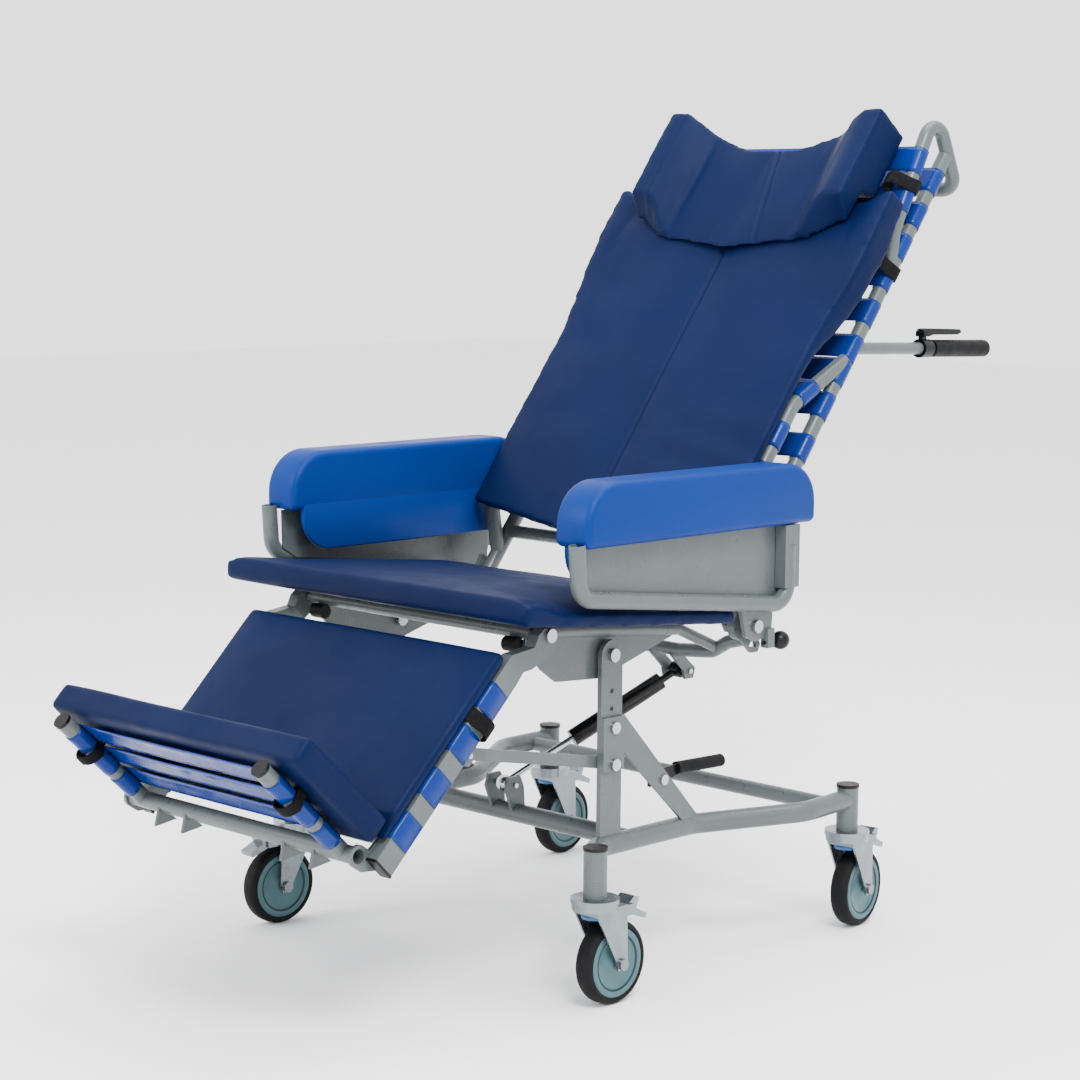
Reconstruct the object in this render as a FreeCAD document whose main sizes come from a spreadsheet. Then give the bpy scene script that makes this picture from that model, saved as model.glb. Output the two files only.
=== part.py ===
"""Reclining patient chair on four braked castors, in millimetres.

Frame: +X is the occupant's left, -Y is the front, +Z is up and the floor is Z = 0.
The origin lies on the floor under the middle of the chair's bounding box.
The chair is drawn at rest: back reclined, leg rest half lowered, foot rest square to it.
"""
import FreeCAD, Part
import math
import os
import re

import Sketcher
from FreeCAD import Placement, Rotation, Vector

# --------------------------------------------------------------------------- driving sizes

SIZES = {
    # castors and the base that they carry
    "castor_x": 332, "front_castor_y": -257, "rear_castor_y": 337,
    "wheel_radius": 62.5, "wheel_width": 30, "tread_depth": 10, "trail": 34,
    "plate_z": 157, "kingpin": 6, "running_fit": 0.06,
    "socket_radius": 17.5, "socket_top": 234, "rail_radius": 16, "tube_wall": 2,
    "rail_x": 240, "rail_z": 203, "rail_rear_z": 214,
    "cross_radius": 15, "front_cross_y": -82, "rear_cross_y": 292,
    # uprights that hold the tilt pivot
    "upright_x": 240, "upright_thick": 8, "upright_wide": 46,
    "tilt_y": -130, "tilt_z": 492, "pin_radius": 6, "link_bolt_z": 327, "clamp_bolt_z": 383,
    "spare_low_z": 411, "spare_high_z": 438, "spare_radius": 4,
    # seat
    "seat_plate_x": 226, "seat_plate_thick": 5, "seat_tube": 11, "seat_slope": 5.3,
    "seat_front_y": -375, "seat_front_z": 566, "seat_length": 432,
    "seat_half_width": 319, "seat_lip_half_width": 338, "seat_thick": 44, "seat_lip_thick": 19,
    "seat_nose_thick": 38,
    "knee_y": -294, "knee_z": 543, "recline_y": 100, "recline_z": 520, "hinge_x": 296,
    # back, drawn from the recline pivot at its angle from upright
    "back_lean": 37.9, "back_tube": 12.5, "bow_tube": 12.1, "back_x": 262,
    "back_pad_rear": 81, "back_pad_thick": 28, "head_pad_gap": 0.8, "head_pad_thick": 32,
    "strap_thick": 1.4, "strap_wide": 45,
    "handle_x": 256, "handle_radius": 10, "grip_radius": 14.5,
    # leg rest and foot rest
    "leg_drop": 44.3, "leg_x": 262, "leg_rail_wide": 20, "leg_rail_deep": 38, "leg_rail_length": 334,
    "leg_pad_half_width": 278, "leg_pad_thick": 26, "leg_pad_length": 291,
    "foot_rise": 43.5, "foot_x": 221, "foot_tube": 12.5, "foot_tube_length": 198,
    "foot_pad_thick": 34, "foot_pad_length": 198,
    # arms
    "arm_x": 335, "arm_tube": 12.5, "pad_outer_x": 351, "pad_inner_x": 282,
    "pad_top": 766, "pad_bottom": 673, "skirt_bottom": 607, "pad_front_y": -300, "pad_rear_y": 217,
    # gas spring
    "spring_foot_x": -20, "spring_foot_y": -91, "spring_foot_z": 249,
    "spring_head_x": 117, "spring_head_y": 165, "spring_head_z": 418,
    "spring_body": 14, "spring_rod": 5,
}

doc = FreeCAD.newDocument("patient_recliner")
sheet = doc.addObject("Spreadsheet::Sheet", "sizes")
for row, (alias, number) in enumerate(SIZES.items(), start=1):
    sheet.set(f"A{row}", alias)
    sheet.set(f"B{row}", str(number))
    sheet.setAlias(f"B{row}", alias)
doc.recompute()

X_AXIS = Vector(1, 0, 0)
Z_AXIS = Vector(0, 0, 1)
NODES = []


def mm(alias):
    """The number in a cell of the sheet."""
    return float(sheet.get(alias))


def cells(text):
    """An expression whose plain words are cells of the sheet."""
    return re.sub(r"[a-z_]+", lambda word: "sizes." + word[0] if word[0] in SIZES else word[0], str(text))


def bind(thing, **sizes):
    """Bind properties to expressions on the sheet."""
    for name, text in sizes.items():
        thing.setExpression(name, cells(text))
    return thing


# --------------------------------------------------------------------------- building blocks

def cylinder(name, start, axis, radius, height):
    """A round bar from start along axis; radius and height are expressions."""
    piece = bind(doc.addObject("Part::Cylinder", name), Radius=radius, Height=height)
    piece.Placement = Placement(Vector(*start), Rotation(Z_AXIS, Vector(*axis)))
    return piece


def pin(name, centre, radius, length, axis=(1, 0, 0)):
    """A round bar centred on a point."""
    axis = Vector(*axis).normalize()
    piece = cylinder(name, Vector(*centre) - axis * (length / 2), axis, radius, length)
    return piece


def between(name, start, end, radius):
    """A round bar from one point to another."""
    start = Vector(*start)
    span = Vector(*end) - start
    return cylinder(name, start, span, radius, span.Length)


def block(name, low, size, turn=None):
    """A box from its low corner; turn is a rotation about that corner."""
    piece = bind(doc.addObject("Part::Box", name), Length=size[0], Width=size[1], Height=size[2])
    piece.Placement = Placement(Vector(*low), turn or Rotation())
    return piece


def ball(name, centre, radius, pole=(0, 0, 1)):
    """A sphere; with its pole up, its seam faces +Y, clear of bars along X."""
    piece = bind(doc.addObject("Part::Sphere", name), Radius=radius)
    turn = Rotation(Z_AXIS, Vector(*pole)).multiply(Rotation(Z_AXIS, 90))
    piece.Placement = Placement(Vector(*centre), turn)
    return piece


def path(name, corners, bend):
    """A path of straight runs joined by tangent arcs of one radius."""
    points = [Vector(*corner) for corner in corners]
    edges = []
    start = points[0]
    for before, corner, after in zip(points, points[1:], points[2:]):
        inward = (before - corner).normalize()
        outward = (after - corner).normalize()
        half_turn = (math.pi - inward.getAngle(outward)) / 2
        setback = bend * math.tan(half_turn)
        middle = (inward + outward).normalize() * (bend / math.cos(half_turn) - bend)
        arc_start = corner + inward * setback
        arc_end = corner + outward * setback
        edges.append(Part.LineSegment(start, arc_start).toShape())
        edges.append(Part.Arc(arc_start, corner + middle, arc_end).toShape())
        start = arc_end
    edges.append(Part.LineSegment(start, points[-1]).toShape())
    spine = doc.addObject("Part::Feature", name)
    spine.Shape = Part.Wire(edges)
    return spine


def sweep(name, spine, radius):
    """A round section swept along a path."""
    edges = spine.Shape.Edges
    ring = bind(doc.addObject("Part::Circle", name + "_section"), Radius=radius)
    ring.Placement = Placement(edges[0].Vertexes[0].Point, Rotation(Z_AXIS, edges[0].tangentAt(0)))
    bar = doc.addObject("Part::Sweep", name)
    bar.Sections = [ring]
    bar.Spine = (spine, [f"Edge{index + 1}" for index in range(len(edges))])
    bar.Solid = True
    return bar


def tube(name, corners, radius, bend):
    """A bent tube: its outside and its bore."""
    spine = path(name + "_path", corners, bend)
    return sweep(name + "_outside", spine, radius), sweep(name + "_bore", spine, f"({radius}) - tube_wall")


def pipe(name, start, end, radius):
    """A straight tube: its outside and its bore."""
    return between(name, start, end, radius), between(name + "_bore", start, end, f"({radius}) - tube_wall")


def mirrored(thing):
    """The same piece on the other side of the chair."""
    copy = doc.addObject("Part::Mirroring", thing.Name + "_other_side")
    copy.Source = thing
    copy.Normal = X_AXIS
    return copy


def fuse(name, *pieces):
    whole = doc.addObject("Part::MultiFuse", name)
    whole.Shapes = list(pieces)
    return whole


def cut(name, base, *tools):
    result = doc.addObject("Part::Cut", name)
    result.Base = base
    result.Tool = tools[0] if len(tools) == 1 else fuse(name + "_tools", *tools)
    return result


def group(name, *pieces):
    """Separate solids that share a node."""
    both = doc.addObject("Part::Compound", name)
    both.Links = list(pieces)
    return both


def pair(name, *pieces):
    """Pieces and their mirror images, as separate solids."""
    return group(name, *pieces, *[mirrored(piece) for piece in pieces])


def plate(name, outline, low, thick, holes=(), plane="YZ_Plane"):
    """A flat plate from its outline; low is its lower face along the plane's normal."""
    body = doc.addObject("PartDesign::Body", name)
    sketch = body.newObject("Sketcher::SketchObject", name + "_outline")
    origin_plane = [item for item in body.Origin.OriginFeatures if item.Role == plane][0]
    sketch.AttachmentSupport = [(origin_plane, "")]
    sketch.MapMode = "FlatFace"
    corners = [Vector(*corner, 0) for corner in outline]
    count = len(corners)
    for index, corner in enumerate(corners):
        sketch.addGeometry(Part.LineSegment(corner, corners[(index + 1) % count]), False)
    for index, corner in enumerate(corners):
        sketch.addConstraint(Sketcher.Constraint("Coincident", index, 2, (index + 1) % count, 1))
        sketch.addConstraint(Sketcher.Constraint("DistanceX", -1, 1, index, 1, corner.x))
        sketch.addConstraint(Sketcher.Constraint("DistanceY", -1, 1, index, 1, corner.y))
    for place, (across, up, radius) in enumerate(holes):
        index = count + place
        sketch.addGeometry(Part.Circle(Vector(across, up, 0), Z_AXIS, 1), False)
        sketch.addConstraint(Sketcher.Constraint("DistanceX", -1, 1, index, 3, across))
        sketch.addConstraint(Sketcher.Constraint("DistanceY", -1, 1, index, 3, up))
        size = sketch.addConstraint(Sketcher.Constraint("Radius", index, 1))
        sketch.setExpression(f"Constraints[{size}]", cells(radius))
    pad = body.newObject("PartDesign::Pad", name + "_pad")
    pad.Profile = sketch
    bind(pad, Length=thick)
    body.Placement = Placement((X_AXIS if plane == "YZ_Plane" else Z_AXIS) * low, Rotation())
    return body


def node(label, thing):
    """Name a finished sub-part."""
    thing.Label = label
    NODES.append(thing)
    return thing


def yz(origin, angle, along, normal=0.0):
    """A point of the side view: along a direction at angle above +Y, and normal to its left."""
    turn = math.radians(angle)
    y = origin[0] + along * math.cos(turn) - normal * math.sin(turn)
    z = origin[1] + along * math.sin(turn) + normal * math.cos(turn)
    return y, z


def at(x, point):
    return x, point[0], point[1]


# --------------------------------------------------------------------------- base

def base_frame():
    """Side rails, cross tubes, castor sockets and the gas spring's bracket: one weldment."""
    x, rail_x = mm("castor_x"), mm("rail_x")
    rail_z, rear_z = mm("rail_z"), mm("rail_rear_z")
    corners = [(x, mm("front_castor_y"), rail_z), (rail_x, -160, rail_z), (rail_x, 60, rail_z),
               (x + 4, 222, rear_z - 2), (x, mm("rear_castor_y"), rear_z)]
    rail, rail_bore = tube("side_rail", corners, "rail_radius", 60)
    sockets, socket_bores = [], []
    low = mm("plate_z") + 7
    for y in (mm("front_castor_y"), mm("rear_castor_y")):
        sockets.append(cylinder("socket", (x, y, low), (0, 0, 1), "socket_radius",
                                "socket_top - plate_z - 7"))
        socket_bores.append(cylinder("socket_bore", (x, y, low - 1), (0, 0, 1), "socket_radius - 2.5", 90))
    front_y, rear_y = mm("front_cross_y"), mm("rear_cross_y")
    front_ends = (-rail_x, front_y, rail_z), (rail_x, front_y, rail_z)
    rear_ends = (-x, rear_y, rear_z - 3), (x, rear_y, rear_z - 3)
    front_cross, front_bore = pipe("front_cross", *front_ends, "cross_radius")
    rear_cross, rear_bore = pipe("rear_cross", *rear_ends, "cross_radius - 2.5")
    foot_x, foot_y, foot_z = mm("spring_foot_x"), mm("spring_foot_y"), mm("spring_foot_z")
    ear_outline = [(front_y - 14, rail_z + 4), (front_y + 14, rail_z + 4), (foot_y + 20, foot_z - 4),
                   (foot_y + 12, foot_z + 14), (foot_y - 14, foot_z + 14), (foot_y - 20, foot_z - 4)]
    ears = [plate("spring_ear", ear_outline, foot_x + offset, 5, [(foot_y, foot_z, "4")])
            for offset in (-24.5, 19.5)]
    right = [rail, *sockets]
    right_bores = [rail_bore, *socket_bores]
    solid = fuse("base_solid", *right, *[mirrored(piece) for piece in right], front_cross, rear_cross)
    left_bores = [mirrored(piece) for piece in right_bores]
    hollow = cut("base_hollow", solid, *right_bores, *left_bores, front_bore, rear_bore)
    return node("base_frame", fuse("base_weldment", hollow, *ears))


PEDAL_PIVOT = (-18, 287)


def uprights():
    """Lower and upper flat bars, and the brace plates that clamp them."""
    half = mm("upright_wide") / 2
    y, tilt_z = mm("tilt_y"), mm("tilt_z")
    low_x = mm("upright_x") - mm("upright_thick") / 2
    split = 350
    foot = mm("rail_z") + mm("rail_radius") - 1
    lower_outline = [(y - half, foot), (y + half, foot), (y + half, split), (y - half, split)]
    link_hole = (y, mm("link_bolt_z"), "pin_radius")
    lower = plate("lower_bar", lower_outline, low_x, "upright_thick", [link_hole])
    upper_outline = [(y - half, split), (y + half, split)]
    for step in range(9):
        turn = math.radians(step * 180 / 8)
        upper_outline.append((y + half * math.cos(turn), tilt_z + half * math.sin(turn)))
    holes = [(y, mm("tilt_z"), "pin_radius"), (y, mm("clamp_bolt_z"), "pin_radius - 2"),
             (y, mm("spare_low_z"), "spare_radius"), (y, mm("spare_high_z"), "spare_radius")]
    upper = plate("upper_bar", upper_outline, low_x, "upright_thick", holes)
    brace_x = mm("upright_x") + mm("upright_thick") / 2
    brace_outline = [(y - half, 318), (y + half - 1, 318), (y + half - 1, 343), (28, 216), (66, 216),
                     (y + half, 399), (y - half, 399)]
    brace_holes = [(y, mm("link_bolt_z"), "pin_radius"), (y, mm("clamp_bolt_z"), "pin_radius - 2"),
                   (*PEDAL_PIVOT, "5")]
    brace = plate("brace", brace_outline, brace_x, 6, brace_holes)
    node("lower_uprights", pair("lower_bars", lower))
    node("upper_uprights", pair("upper_bars", upper))
    node("brace_plates", pair("braces", brace))


def base_fasteners():
    """Tilt pins, link bolts and clamp bolts with their heads and nuts, fixed to the uprights."""
    y = mm("tilt_y")
    inner = mm("upright_x") - mm("upright_thick") / 2
    outer = mm("upright_x") + mm("upright_thick") / 2
    tilt_pin = fuse("tilt_pin",
                    cylinder("tilt_shank", (212, y, mm("tilt_z")), (1, 0, 0), "pin_radius", outer - 212),
                    cylinder("tilt_head", (outer, y, mm("tilt_z")), (1, 0, 0), "10", 7),
                    cylinder("tilt_collar", (229.2, y, mm("tilt_z")), (1, 0, 0), "11", inner - 229.2),
                    cylinder("tilt_nut", (212, y, mm("tilt_z")), (1, 0, 0), "10", 10.8))
    link_z = mm("link_bolt_z")
    link_bolt = fuse("link_bolt",
                     cylinder("link_shank", (222, y, link_z), (1, 0, 0), "pin_radius", outer + 6 - 222),
                     cylinder("link_head", (outer + 6, y, link_z), (1, 0, 0), "9", 6),
                     cylinder("link_nut", (222, y, link_z), (1, 0, 0), "9", 6))
    clamp_z = mm("clamp_bolt_z")
    clamp = fuse("clamp_bolt",
                 cylinder("clamp_shank", (inner - 4, y, clamp_z), (1, 0, 0), "pin_radius - 2",
                          outer + 10 - inner),
                 cylinder("clamp_head", (outer + 6, y, clamp_z), (1, 0, 0), "9", 5),
                 cylinder("clamp_nut", (inner - 5, y, clamp_z), (1, 0, 0), "8", 5))
    node("upright_bolts", pair("bolts", tilt_pin, link_bolt, clamp))
    foot = (mm("spring_foot_x"), mm("spring_foot_y"), mm("spring_foot_z"))
    stud = pin("spring_foot_bar", foot, "4", 56)
    node("spring_foot_pin", fuse("ball_stud", stud, ball("stud_ball", foot, "9")))


def castor_mounts():
    """Caps and stems of the four sockets."""
    caps, stems = [], []
    for y in (mm("front_castor_y"), mm("rear_castor_y")):
        place = (mm("castor_x"), y)
        caps.append(cylinder("cap", (*place, mm("socket_top")), (0, 0, 1), "socket_radius + 1", 5))
        plate_z = mm("plate_z")
        stems.append(fuse("stem",
                          cylinder("stem_plug", (*place, plate_z + 6), (0, 0, 1),
                                   "socket_radius - 2.5", 55),
                          cylinder("upper_race", (*place, plate_z), (0, 0, 1), "36", 7),
                          cylinder("king_pin", (*place, plate_z - 20), (0, 0, 1), "kingpin", 24),
                          cylinder("king_head", (*place, plate_z - 20), (0, 0, 1), "11", 6)))
    node("socket_caps", pair("caps", *caps))
    node("castor_stems", pair("stems", *stems))


def castor(name, x, y, swivel):
    """A braked castor: fork, hub, tread and rocker pedal, swivelled from trailing straight back."""
    plate_z, trail, axle_z = mm("plate_z"), mm("trail"), mm("wheel_radius")
    top = plate_z - 0.4
    crown = cylinder("crown", (x, y, top - 9), (0, 0, 1), "34", 9)
    web = block("crown_web", (x - 24, y - 20, top - 16), (48, 66, 9))
    leg_outline = [(y - 22, top - 8), (y + 46, top - 8), (y + 44, top - 26), (y + trail + 12, axle_z + 4),
                   (y + trail + 8, axle_z - 9), (y + trail - 8, axle_z - 9), (y + trail - 13, axle_z + 6)]
    legs = [plate("fork_leg", leg_outline, low, 3) for low in (x - 24, x + 21)]
    pedal_y, pedal_z = y + 58, 137
    ears = [block("pedal_ear", (x + low, y + 40, pedal_z - 7), (3, 26, 16)) for low in (-18, 15)]
    bore = cylinder("king_bore", (x, y, top - 30), (0, 0, 1), "kingpin + running_fit", 40)
    well = cylinder("king_well", (x, y, plate_z - 20.4), (0, 0, 1), "11.5", 7)
    axle = pin("axle", (x, y + trail, axle_z), "5", 56)
    nuts = [cylinder("axle_nut", (x + low, y + trail, axle_z), (1, 0, 0), "8.5", 5) for low in (-29, 24)]
    pivot = pin("pedal_pin", (x, pedal_y, pedal_z), "3", 36)
    frame = cut("fork_" + name, fuse("fork_solid_" + name, crown, web, *legs, *ears), bore, well)
    fork = node("castor_fork_" + name, fuse("fork_whole_" + name, frame, axle, *nuts, pivot))
    rim = pin("rim", (x, y + trail, axle_z), "wheel_radius - tread_depth", mm("wheel_width"))
    rim_bore = pin("rim_bore", (x, y + trail, axle_z), "5 + running_fit", 60)
    hub = node("castor_hub_" + name, cut("hub_" + name, rim, rim_bore))
    tyre = pin("tyre", (x, y + trail, axle_z), "wheel_radius", mm("wheel_width"))
    seat = pin("tyre_seat", (x, y + trail, axle_z), "wheel_radius - tread_depth", 60)
    tread = node("castor_tread_" + name, cut("tread_" + name, tyre, seat))
    outline = [(pedal_y - 6, pedal_z - 5), (pedal_y + 4, pedal_z - 7), (pedal_y + 36, pedal_z - 19),
               (pedal_y + 40, pedal_z - 12), (pedal_y + 16, pedal_z), (pedal_y + 22, pedal_z + 16),
               (pedal_y + 12, pedal_z + 19), (pedal_y - 4, pedal_z + 7)]
    rocker = plate("rocker", outline, x - 14, 28)
    rocker_bore = pin("rocker_bore", (x, pedal_y, pedal_z), "3 + running_fit", 60)
    pedal = node("brake_pedal_" + name, cut("pedal_" + name, rocker, rocker_bore))
    for thing in (fork, hub, tread, pedal):
        thing.Placement = Placement(Vector(), Rotation(Z_AXIS, swivel), Vector(x, y, 0))


CASTORS = {"front_left": (1, "front_castor_y", 0), "front_right": (-1, "front_castor_y", 176),
           "rear_left": (1, "rear_castor_y", 8), "rear_right": (-1, "rear_castor_y", 3)}


def foot_pedal():
    """The tilt release pedal on the left brace, and its grip."""
    (y, z), x = PEDAL_PIVOT, 229.6
    outline = [(y - 14, z - 12), (y + 12, z - 12), (y + 54, z), (y + 54, z + 15), (y + 10, z + 13),
               (y - 14, z + 12)]
    node("foot_pedal_lever", plate("pedal_lever", outline, x, 6, [(y, z, "5 + running_fit")]))
    grip = cylinder("grip_round", (x + 3, y + 48, z + 8), (0, 1, -0.03), "10", 107)
    slot = block("grip_slot", (x - 0.1, y + 40, z - 16), (6.2, 14, 48))
    node("foot_pedal_grip", cut("grip_shell", grip, slot))
    node("foot_pedal_pin", fuse("pedal_pin_whole",
                                cylinder("pedal_pin_shank", (x - 4, y, z), (1, 0, 0), "5", 20.4),
                                cylinder("pedal_pin_head", (250, y, z), (1, 0, 0), "8", 4),
                                cylinder("pedal_pin_nut", (x - 4, y, z), (1, 0, 0), "8", 3.6),
                                cylinder("pedal_pin_collar", (x + 6.4, y, z), (1, 0, 0), "8", 8)))


# --------------------------------------------------------------------------- seat

def seat_frame():
    """Side plates, side tubes, knee tube, dipped rear tube, slats and hinge bosses, welded together."""
    plate_x, thick = mm("seat_plate_x"), mm("seat_plate_thick")
    low_x = plate_x - thick / 2
    knee = (mm("knee_y"), mm("knee_z"))
    slope = -mm("seat_slope")
    outline = [(-300, 520), (-264, 483), (-234, 462), (-139, 456), (20, 502), (20, 512),
               yz(knee, slope, -4, -4)]
    hole = [(mm("tilt_y"), mm("tilt_z"), "pin_radius + running_fit")]
    side_plate = plate("seat_side", outline, low_x, "seat_plate_thick", hole)
    rail_end = yz(knee, slope, 330)
    side_tube = between("seat_side_tube", at(plate_x, knee), at(plate_x, rail_end), "seat_tube")
    knee_tube = between("knee_tube", at(-240, knee), at(240, knee), "seat_tube")
    boss_x = mm("hinge_x")
    recline = (mm("recline_y"), mm("recline_z"))
    dip = [(boss_x + 3, 112, 496), (262, 116, 486), (225, 122, 466), (150, 130, 458)]
    rear_corners = dip + [(-x, y, z) for x, y, z in reversed(dip)]
    rear_tube, rear_bore = tube("rear_tube", rear_corners, "seat_tube", 28)
    struts = [between("rear_strut", at(side * plate_x, rail_end), (side * 236, 118, 474), "seat_tube - 2")
              for side in (-1, 1)]
    slats = []
    for along in (60, 150, 240):
        low = yz(knee, slope, along, 4)
        turn = Rotation(X_AXIS, slope)
        slats.append(block("slat", at(-plate_x, low), (2 * plate_x, 40, 3), turn))
    head = (mm("spring_head_x"), mm("spring_head_y"), mm("spring_head_z"))
    ears = []
    for side in (-1, 1):
        ear_outline = [(118, 452), (144, 452), (head[1] + 14, head[2] + 4), (head[1] + 10, head[2] - 12),
                       (head[1] - 10, head[2] - 12), (head[1] - 14, head[2] + 4)]
        ears.append(plate("head_ear", ear_outline, head[0] + side * 22 - 2.5, 5, [(head[1], head[2], "4")]))
    boss = cylinder("hinge_boss", (boss_x - 4, *recline), (1, 0, 0), "25", 14)
    pivot_y = recline[0]
    tail_outline = [(pivot_y - 10, 500), (pivot_y + 22, 512), (pivot_y + 40, 486), (pivot_y + 34, 474),
                    (pivot_y + 18, 474)]
    tail = plate("hinge_tail", tail_outline, boss_x + 4, 6)
    window_outline = [(pivot_y + 12, 484), (pivot_y + 30, 482), (pivot_y + 24, 500)]
    window = plate("tail_window", window_outline, boss_x, 14)
    boss_bore = cylinder("boss_bore", (boss_x - 20, *recline), (1, 0, 0), "pin_radius", 60)
    hinge = cut("hinge_half", fuse("hinge_solid", boss, tail), window, boss_bore)
    sides = [side_plate, side_tube, hinge]
    other_sides = [mirrored(piece) for piece in sides]
    whole = fuse("seat_weldment", *sides, *other_sides, knee_tube, rear_tube, *struts, *slats, *ears)
    knee_bore = cylinder("knee_bore", at(-300, knee), (1, 0, 0), "pin_radius", 600)
    clear = cylinder("boss_clear", at(-400, recline), (1, 0, 0), "pin_radius", 800)
    node("seat_frame", cut("seat_frame_shape", whole, knee_bore, clear, rear_bore))


def seat_fasteners():
    """Knee pins, recline pins and the gas spring's head pin."""
    knee = (mm("knee_y"), mm("knee_z"))
    recline = (mm("recline_y"), mm("recline_z"))
    knee_pin = fuse("knee_pin",
                    cylinder("knee_shank", at(200, knee), (1, 0, 0), "pin_radius", 76),
                    cylinder("knee_head", at(272.6, knee), (1, 0, 0), "10", 5),
                    cylinder("knee_collar", at(240, knee), (1, 0, 0), "9", 11.6))
    recline_pin = fuse("recline_pin",
                       cylinder("recline_shank", at(268, recline), (1, 0, 0), "pin_radius", 66),
                       cylinder("recline_inner_head", at(268, recline), (1, 0, 0), "10", 5.4),
                       cylinder("recline_outer_head", at(330.5, recline), (1, 0, 0), "10", 5))
    node("seat_pins", pair("seat_pin_pair", knee_pin, recline_pin))
    head = (mm("spring_head_x"), mm("spring_head_y"), mm("spring_head_z"))
    node("spring_head_pin", pin("spring_head_bar", head, "4", 56))
    low = (knee[0] - 14, knee[1] - 18)
    node("seat_bumpers", pair("bumper_pair", between("bumper", at(198, low), at(223.5, low), "11")))


def seat_cushion():
    """The seat pad: a slab that narrows under the arms, with a thin lip beside it."""
    slope = -mm("seat_slope")
    front = (mm("seat_front_y"), mm("seat_front_z"))
    turn = Rotation(X_AXIS, slope)
    slab = block("seat_slab", at(-mm("seat_half_width"), front),
                 ("2*seat_half_width", "seat_length", "seat_thick"), turn)
    lip = block("seat_lip", at(-mm("seat_lip_half_width"), front),
                ("2*seat_lip_half_width", "seat_length - 30", "seat_lip_thick"), turn)
    nose = block("seat_nose", at(-mm("seat_lip_half_width"), yz(front, slope, -30, 3)),
                 ("2*seat_lip_half_width", 60, "seat_nose_thick"), turn)
    node("seat_cushion", fuse("seat_pad", slab, lip, nose))


# --------------------------------------------------------------------------- back

def back_point(along, normal=0.0):
    """A side-view point of the back: along its rear tubes from the pivot, and forward of them."""
    return yz((mm("recline_y") - 8.6, mm("recline_z")), 90 - mm("back_lean"), along, normal)


LUMBAR = [(68, 0), (128, 66), (362, 66), (500, 0)]
LUMBAR_FALL = math.degrees(math.atan2(66, 138))
HEAD_BOW = [(672, 0), (735, 34), (958, 72)]
HEAD_RISE = math.degrees(math.atan2(38, 223))


def back_frame():
    """Rear side tubes, lumbar bows, head bow with its rear loop, cross tubes and handle bars.

    Returns the weldment before its tubes are hollowed.
    """
    x = mm("back_x")
    rear, rear_bore = pipe("back_rear_tube", at(x, back_point(30)), at(x, back_point(914)), "back_tube")
    lumbar_corners = [at(x, back_point(*place)) for place in LUMBAR]
    lumbar, lumbar_bore = tube("lumbar_bow", lumbar_corners, "bow_tube", 45)
    side = [at(x, back_point(*place)) for place in HEAD_BOW] + [(x, 686, 1187)]
    other_side = [(-px, py, pz) for px, py, pz in reversed(side)]
    head, head_bore = tube("head_bow", side + other_side, "bow_tube", 27)
    pivot = (mm("recline_y"), mm("recline_z"))
    ear_outline = [back_point(52, -16), back_point(52, 16)]
    for step in range(5):
        ear_outline.append(yz(pivot, 142.1 + 45 * step, 17))
    ear = plate("recline_ear", ear_outline, x + 13, 8, [(*pivot, "pin_radius + running_fit")])
    web = between("ear_web", at(x + 11.5, back_point(40)), at(x + 20, back_point(40)), "9")
    crosses, bores = [], [head_bore, rear_bore, mirrored(rear_bore), lumbar_bore, mirrored(lumbar_bore)]
    for along in (110, 520):
        centre = back_point(along)
        cross, bore = pipe("back_cross", at(-x, centre), at(x, centre), "back_tube - 1.5")
        crosses.append(cross)
        bores.append(bore)
    handle_end = (mm("handle_x"), 786, 919)
    handle, handle_bore = pipe("handle_bar", at(x, back_point(520)), handle_end, "handle_radius")
    bores += [handle_bore, mirrored(handle_bore)]
    halves = [rear, lumbar, ear, web, handle]
    solid = fuse("back_solid", *halves, *[mirrored(piece) for piece in halves], head, *crosses)
    node("back_frame", cut("back_weldment", solid, *bores))
    return solid


def sleeve_strap(name, frame, x, centre, angle):
    """A vinyl strap across the chair whose ends wrap the tube at each side."""
    direction = Vector(0, *yz((0, 0), angle, 1))
    normal = Vector(0, *yz((0, 0), angle + 90, 1))
    wide = mm("strap_wide")
    start = Vector(x, *centre) - direction * (wide / 2)
    sleeve = cylinder(name + "_sleeve", start, direction, "back_tube + strap_thick", "strap_wide")
    low = start - X_AXIS * (2 * x) + normal * mm("back_tube")
    band = block(name + "_band", low, (2 * x, "strap_wide", "strap_thick"), Rotation(X_AXIS, angle))
    whole = fuse(name + "_whole", sleeve, mirrored(sleeve), band)
    return cut(name, whole, frame)


REAR_STRAPS = (323, 404, 470, 517, 588, 659, 722, 787, 857)


def back_straps(frame):
    """Straps round the rear tubes, the lumbar bows and the head bow."""
    x, lean = mm("back_x"), 90 - mm("back_lean")
    straps = [sleeve_strap("rear_strap", frame, x, back_point(along), lean) for along in REAR_STRAPS]
    straps += [sleeve_strap("lumbar_strap", frame, x, back_point(along, 66), lean) for along in (227, 302)]
    straps.append(sleeve_strap("upper_lumbar_strap", frame, x, back_point(394, 50.7), lean - LUMBAR_FALL))
    straps += [sleeve_strap("head_strap", frame, x, back_point(*place), lean + HEAD_RISE)
               for place in ((789, 43.2), (857, 54.8))]
    node("back_straps", group("back_strap_group", *straps))


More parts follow.
